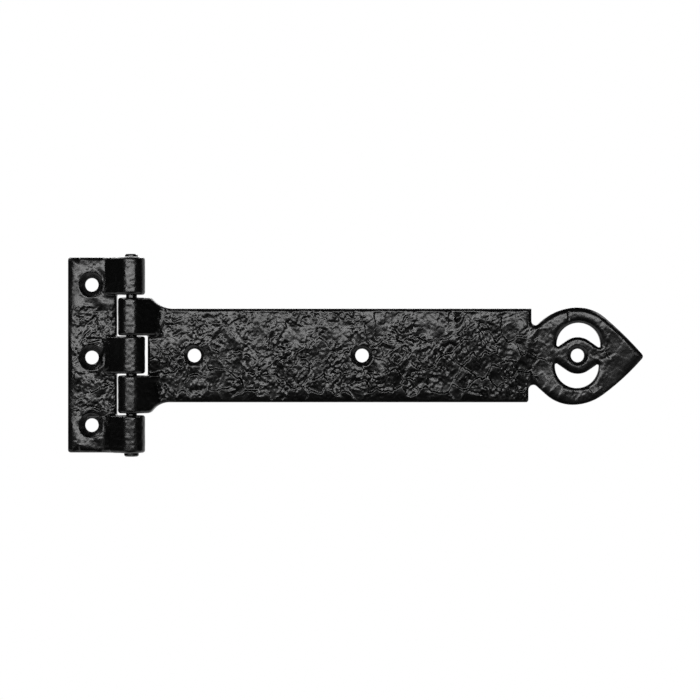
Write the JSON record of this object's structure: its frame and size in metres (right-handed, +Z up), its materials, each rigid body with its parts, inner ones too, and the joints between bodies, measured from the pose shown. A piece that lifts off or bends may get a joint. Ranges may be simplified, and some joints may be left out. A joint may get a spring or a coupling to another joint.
{
  "type": "tee hinge",
  "caption": "Cast tee hinge with an upright screw plate and a long strap that ends in a pierced spearhead, black finish.",
  "frame": {"origin": "on the back of the frame leaf, midway between its two outer screw holes", "axes": "+X runs along the strap from the frame leaf to the spearhead, +Z runs up along the pin, and -Y is the front, with both backs on Y = 0"},
  "size_m": [0.253, 0.0116, 0.0886],
  "materials": {
    "black_casting": "semi-gloss black powder coat over rough cast iron",
    "black_pin": "semi-gloss black over steel"
  },
  "bodies": {
    "frame": {"frame_leaf": "black_casting", "hinge_pin": "black_pin"},
    "strap": {"strap": "black_casting"}
  },
  "joints": [
    {"name": "strap_swing", "type": "hinge", "parent": "frame", "child": "strap", "pos_m": [0.018, -0.00565, 0], "axis": [0, 0, -1], "range_deg": [-95, 175]}
  ]
}
